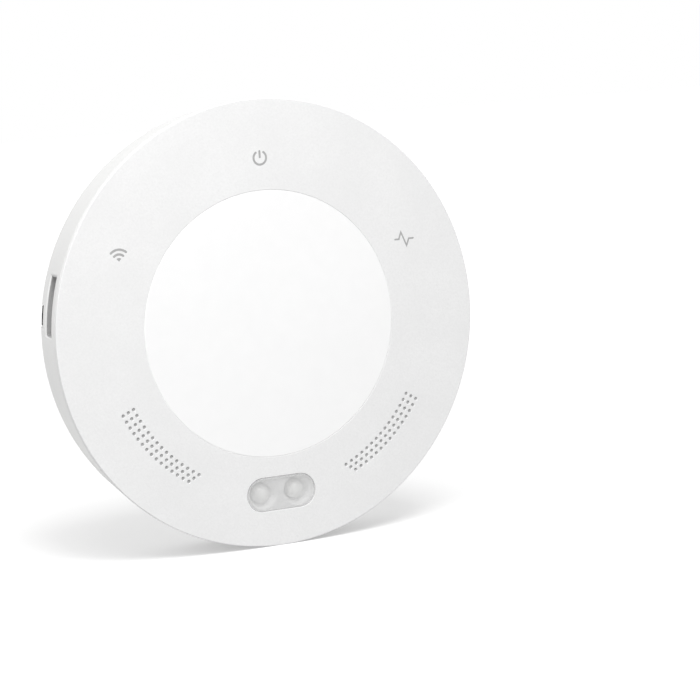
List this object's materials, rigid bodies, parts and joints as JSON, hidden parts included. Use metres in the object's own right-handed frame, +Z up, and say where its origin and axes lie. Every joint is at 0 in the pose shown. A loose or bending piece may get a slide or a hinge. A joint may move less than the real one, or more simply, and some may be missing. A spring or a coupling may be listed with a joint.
{
  "type": "garage door controller",
  "caption": "Round wall-mounted garage door controller with a matt face ring, glossy centre disc, speaker grilles, a warning lamp window and a wiring bay behind.",
  "frame": {"origin": "centre of the back face, on the wall plane", "axes": "+Z up the face (12 o'clock), +X to the right seen from the front, +Y into the wall; the face looks along -Y"},
  "size_m": [0.15, 0.0243, 0.15],
  "materials": {
    "housing_white": "satin moulded ABS",
    "grommet_rubber": "soft moulded elastomer",
    "bezel_matt": "fine spark-eroded texture",
    "cap_gloss": "polished",
    "window_clear": "clear polycarbonate",
    "reflector_grey": "satin light grey",
    "lamp_dome": "diffuse dome",
    "guide_clear": "clear acrylic",
    "board_green": "solder mask on glass-fibre board",
    "moulding_black": "moulded",
    "steel": "plated",
    "aluminium_can": "drawn can",
    "socket_grey": "moulded nylon",
    "brass_contacts": "plated",
    "diaphragm_black": "pressed cone",
    "acoustic_cloth": "woven",
    "button_grey": "moulded"
  },
  "bodies": {
    "housing": {"rear_housing": "housing_white", "cable_grommet": "grommet_rubber", "front_bezel": "bezel_matt", "centre_cap": "cap_gloss", "lamp_window": "window_clear", "lamp_reflector": "reflector_grey", "left_lamp": "lamp_dome", "right_lamp": "lamp_dome", "lamp_board": "board_green", "lamp_header": "moulding_black", "power_light_guide": "guide_clear", "wireless_light_guide": "guide_clear", "activity_light_guide": "guide_clear", "status_lamps": "lamp_dome", "main_board": "board_green", "processor": "moulding_black", "radio_module": "board_green", "radio_shield": "steel", "door_relay_1": "moulding_black", "door_relay_2": "moulding_black", "door_relay_3": "moulding_black", "capacitors": "aluminium_can", "wire_socket": "socket_grey", "wire_contacts": "brass_contacts", "power_socket": "steel", "reset_switch": "moulding_black", "left_speaker_frame": "moulding_black", "left_speaker_diaphragm": "diaphragm_black", "left_speaker_magnet": "steel", "left_grille_cloth": "acoustic_cloth", "right_speaker_frame": "moulding_black", "right_speaker_diaphragm": "diaphragm_black", "right_speaker_magnet": "steel", "right_grille_cloth": "acoustic_cloth", "case_screws": "steel", "board_screws": "steel"},
    "reset_button": {"reset_button": "button_grey", "switch_plunger": "button_grey"}
  },
  "joints": [
    {"name": "reset_press", "type": "slide", "parent": "housing", "child": "reset_button", "axis": [1, 0, 0], "range_m": [0, 0.0006], "stiffness_N_per_m": 1500, "springref_m": -0.0003}
  ]
}
